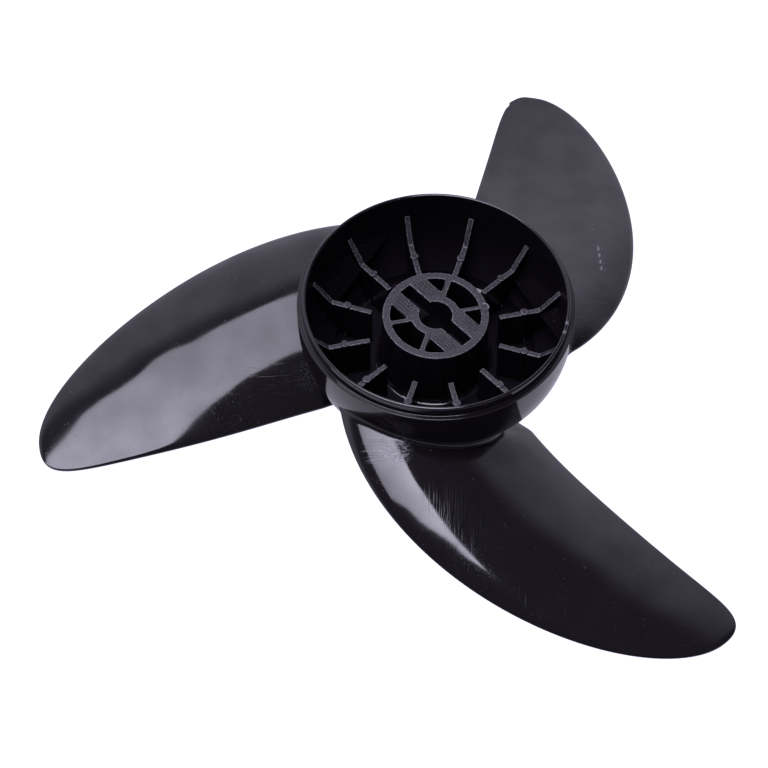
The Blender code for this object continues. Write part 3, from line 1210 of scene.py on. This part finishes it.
@dataclass(frozen=True)
class MouldedNylon:
    """Black glass-filled nylon as one kind of mould surface leaves it, or lightened as a painted highlight on
    rounded edges.
    """

    name: str
    base: Triple = (0.0064, 0.0052, 0.0070)
    smooth: float = 0.05
    rough: float = 0.10
    mottle_scale: float = 45.0
    peel_scale: float = 260.0
    peel_depth: float = 0.000004
    wave_scale: float = 38.0
    wave_depth: float = 0.00055
    grain_scale: float = 2600.0
    grain_depth: float = 0.0
    scuffs: tuple[Scuff, ...] = ()
    scuff_depth: float = 0.00002
    scuff_colour: Triple = (0.16, 0.155, 0.175)
    scuff_roughness: float = 0.22
    speck_share: float = 0.13
    coat: float = 0.0
    coat_roughness: float = 0.10
    coat_scale: float = 80.0
    fleck_contrast: float = 0.0
    fleck_scale: float = 1500.0
    specular: float = 0.5

    def material(self, groups: Groups) -> bpy.types.Material:
        """Build the material.

        Args:
            groups: The shared node groups, by name.

        Returns:
            It, with every pattern on Object coordinates.
        """
        material = bpy.data.materials.new(self.name)
        material.use_nodes = True
        works = NodeTree(material.node_tree, groups)
        shader = material.node_tree.nodes["Principled BSDF"]
        shader.inputs["Specular IOR Level"].default_value = self.specular
        place = works.add("TexCoord").outputs["Object"]
        scuffs = self.scuff_mask(works, place)
        low, high = self.smooth, self.rough
        mottle = works.group("mottle", Vector=place, Scale=self.mottle_scale, Low=low, High=high)
        works.feed(shader, "Roughness", works.math("MULTIPLY_ADD", scuffs, self.scuff_roughness, mottle))
        works.feed(shader, "Base Color", self.colour(works, place, scuffs))
        works.feed(shader, "Normal", self.relief(works, place, scuffs))
        if self.coat:
            bloom = works.group("mottle", Vector=place, Scale=self.coat_scale, Low=0.0, High=self.coat)
            works.feed(shader, "Coat Weight", bloom)
            shader.inputs["Coat Roughness"].default_value = self.coat_roughness
        return material

    def scuff_mask(self, works: NodeTree, place: Socket) -> Socket:
        """The specks and the scratches of every patch together.

        Args:
            works: The material's tree.
            place: The Object coordinates.

        Returns:
            How strong they are, from 0 to 1.
        """
        total = works.math("MULTIPLY", works.group("specks", Vector=place), self.speck_share)
        for scuff in self.scuffs:
            mask = works.group(
                "scuffs",
                Vector=place,
                Centre=scuff.centre,
                Reach=scuff.reach,
                Heading=(0.0, 0.0, scuff.heading),
                Stretch=scuff.stretch,
                Cover=scuff.cover,
                Strength=scuff.strength,
            )
            total = works.math("MAXIMUM", total, mask)
        return total

    def colour(self, works: NodeTree, place: Socket, scuffs: Socket) -> Socket:
        """The base colour, flecked, and greyer along the scratches.

        Args:
            works: The material's tree.
            place: The Object coordinates.
            scuffs: How strong the scratches are.

        Returns:
            The colour.
        """
        noise = works.noise(place, self.fleck_scale, Detail.FINE)
        flecks = works.ramp(noise, NOISE_ENDS, (1.0 - self.fleck_contrast, 1.0 + self.fleck_contrast))
        flecked = works.add("VectorMath", {"operation": "SCALE"}, Scale=flecks)
        works.feed(flecked, 0, self.base)
        mixed = works.add("Mix", {"data_type": "RGBA"})
        works.feed(mixed, MIX_FACTOR, scuffs)
        works.feed(mixed, MIX_FIRST, flecked.outputs[0])
        works.feed(mixed, MIX_SECOND, (*self.scuff_colour, 1.0))
        return mixed.outputs[MIX_RESULT]

    def relief(self, works: NodeTree, place: Socket, scuffs: Socket) -> Socket:
        """The surface's fine relief: uneven skin, slow waves, grain and scratches.

        Args:
            works: The material's tree.
            place: The Object coordinates.
            scuffs: How strong the scratches are.

        Returns:
            The normal.
        """
        height = works.math("MULTIPLY", works.noise(place, self.peel_scale, Detail.PLAIN), self.peel_depth)
        wave = works.noise(place, self.wave_scale, Detail.PLAIN)
        height = works.math("MULTIPLY_ADD", wave, self.wave_depth, height)
        grain = works.noise(place, self.grain_scale, Detail.FINE)
        height = works.math("MULTIPLY_ADD", grain, self.grain_depth, height)
        height = works.math("MULTIPLY_ADD", scuffs, -self.scuff_depth, height)
        return works.add("Bump", Height=height, Distance=1.0, Strength=1.0).outputs[0]


NYLON = {
    Finish.POLISHED: MouldedNylon("polished_nylon", scuffs=SCUFFS, coat=0.24),
    Finish.ERODED: MouldedNylon(
        "eroded_nylon",
        base=(0.027, 0.0255, 0.0300),
        smooth=0.42,
        rough=0.60,
        wave_depth=0.0,
        grain_depth=0.00003,
        fleck_contrast=0.75,
    ),
    Finish.INNER: MouldedNylon(
        "inner_nylon",
        base=(0.0066, 0.0054, 0.0080),
        smooth=0.26,
        rough=0.36,
        wave_depth=0.0002,
        speck_share=0.0,
        specular=0.07,
    ),
    # Light base colour for small upward-facing rounded corners: a painted highlight along the edges
    Finish.RUBBED: MouldedNylon(
        "edge_highlight_nylon",
        base=(0.110, 0.104, 0.120),
        smooth=0.30,
        rough=0.45,
        wave_depth=0.0,
        fleck_contrast=0.8,
    ),
}


@dataclass
class Studio:
    """Pale floor, soft lights and the camera.

    The photo's ground is cut out to white, so the floor is white where the camera sees it, and shaded where
    the plastic mirrors it.
    """

    floor_height: float
    floor_size: float = 12.0
    floor_albedo: float = 0.16
    floor_roughness: float = 0.9
    floor_specular: float = 0.1
    floor_glow: float = 1.10
    floor_shaded: float = 0.52
    tint: Triple = (0.97, 0.93, 1.14)
    box_centre: Triple = (-0.095, -0.222, 1.0)
    box_size: Point = (0.65, 0.723)
    box_turn: float = -0.447
    box_radiance: float = 6.5
    box_spread: float = 0.44
    sky_east: float = 0.44
    sky_west: float = 0.86
    sky_turn: Point = (0.15, -0.60)
    sky_dark: float = 0.10
    dark_side: Triple = (1.0, -0.3, 1.03)
    dark_edge: Point = (0.20, 0.62)
    camera_place: Triple = (0.25848, -0.26285, 0.5265)
    camera_aim: Triple = (-0.0018, -0.02068, -0.0011)
    camera_roll: float = math.radians(0.556)
    focal_length: float = 91.37
    sensor_width: float = 36.0

    def add_floor(self) -> None:
        """Lay the floor that the propeller's nose stands on."""
        bm = bmesh.new()
        bmesh.ops.create_grid(bm, x_segments=1, y_segments=1, size=0.5 * self.floor_size)
        bmesh.ops.translate(bm, verts=bm.verts[:], vec=(0.0, 0.0, self.floor_height))
        floor = linked("floor", mesh_of("floor", bm))
        material = bpy.data.materials.new("floor")
        material.use_nodes = True
        works = NodeTree(material.node_tree)
        shader = material.node_tree.nodes["Principled BSDF"]
        seen = works.add("LightPath").outputs["Is Camera Ray"]
        extra = self.floor_glow - self.floor_shaded
        looks = {
            "Base Color": (self.floor_albedo, self.floor_albedo, self.floor_albedo, 1.0),
            "Roughness": self.floor_roughness,
            "Specular IOR Level": self.floor_specular,
            "Emission Color": (*self.tint, 1.0),
            "Emission Strength": works.math("MULTIPLY_ADD", seen, extra, self.floor_shaded),
        }
        for name, value in looks.items():
            works.feed(shader, name, value)
        floor.data.materials.append(material)

    def add_softbox(self) -> None:
        """Hang the rectangular light over the propeller, a little brighter toward one end."""
        light = bpy.data.lights.new("softbox", "AREA")
        light.shape = "RECTANGLE"
        light.size, light.size_y = self.box_size
        light.energy = self.box_radiance * math.pi * self.box_size[0] * self.box_size[1]
        light.color = self.tint
        light.use_nodes = True
        works = NodeTree(light.node_tree)
        place = works.add("NewGeometry").outputs["Parametric"]
        end = works.add("SeparateXYZ", Vector=place).outputs["Y"]
        strength = works.ramp(end, (0.0, 1.0), (1.0 - self.box_spread, 1.0 + self.box_spread))
        works.feed(light.node_tree.nodes["Emission"], "Strength", strength)
        lamp = linked("softbox", light)
        lamp.location = self.box_centre
        lamp.rotation_euler.z = self.box_turn

    def add_sky(self) -> None:
        """Light the room: bright toward the far left, and dark overhead and behind the camera."""
        world = bpy.data.worlds.new("room")
        world.use_nodes = True
        works = NodeTree(world.node_tree)
        place = works.add("TexCoord").outputs["Generated"]
        east = works.add("SeparateXYZ", Vector=place).outputs["X"]
        bright = works.ramp(east, self.sky_turn, (self.sky_east, self.sky_west), smooth=True)
        slope = works.vector("DOT_PRODUCT", place, self.dark_side, output="Value")
        strength = works.ramp(slope, self.dark_edge, (bright, self.sky_dark), smooth=True)
        background = world.node_tree.nodes["Background"]
        works.feed(background, "Color", (*self.tint, 1.0))
        works.feed(background, "Strength", strength)
        bpy.context.scene.world = world

    def add_camera(self) -> None:
        """Place the camera as the photographer did."""
        camera = bpy.data.cameras.new("camera")
        camera.lens = self.focal_length
        camera.sensor_width = self.sensor_width
        holder = linked("camera", camera)
        place, aim = Vector(self.camera_place), Vector(self.camera_aim)
        turn = (aim - place).to_track_quat("-Z", "Y").to_matrix().to_4x4()
        holder.matrix_world = Matrix.Translation(place) @ turn @ Matrix.Rotation(self.camera_roll, 4, "Z")
        bpy.context.scene.camera = holder

    def build(self) -> None:
        """Set up the whole studio."""
        self.add_camera()
        self.add_floor()
        self.add_sky()
        self.add_softbox()
        bpy.context.scene.view_settings.view_transform = "Standard"


def main() -> None:
    """Load the frame, build the propeller's pieces and set up the studio."""
    logging.basicConfig(level=logging.INFO, format="%(name)s: %(message)s")
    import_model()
    low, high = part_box(NODE)
    groups = {"mottle": mottle_group(), "scuffs": scuff_group(), "specks": speck_group()}
    materials = [NYLON[finish].material(groups) for finish in Finish]
    bowl = Bowl(top=high.z, nose_depth=high.z - low.z)
    shell = HubShell(bowl)
    ribs = Ribs(shell)
    boss = Boss(shell)
    finish_piece("hub_shell", shell.build(), materials)
    finish_piece("hub_ribs", ribs.build_walls(), materials)
    finish_piece("ejector_pads", ribs.build_pads(), materials)
    finish_piece("drive_boss", boss.build_body(), materials)
    finish_piece("boss_ridges", boss.build_ridges(), materials)
    finish_piece("ring_pad", boss.build_pad(), materials)
    finish_piece("blade_1", Blade(bowl, 0, TIP_NICKS).build(), materials)
    finish_piece("blade_2", Blade(bowl, 1).build(), materials)
    finish_piece("blade_3", Blade(bowl, 2).build(), materials)
    Studio(floor_height=low.z).build()


if __name__ == "__main__":
    main()
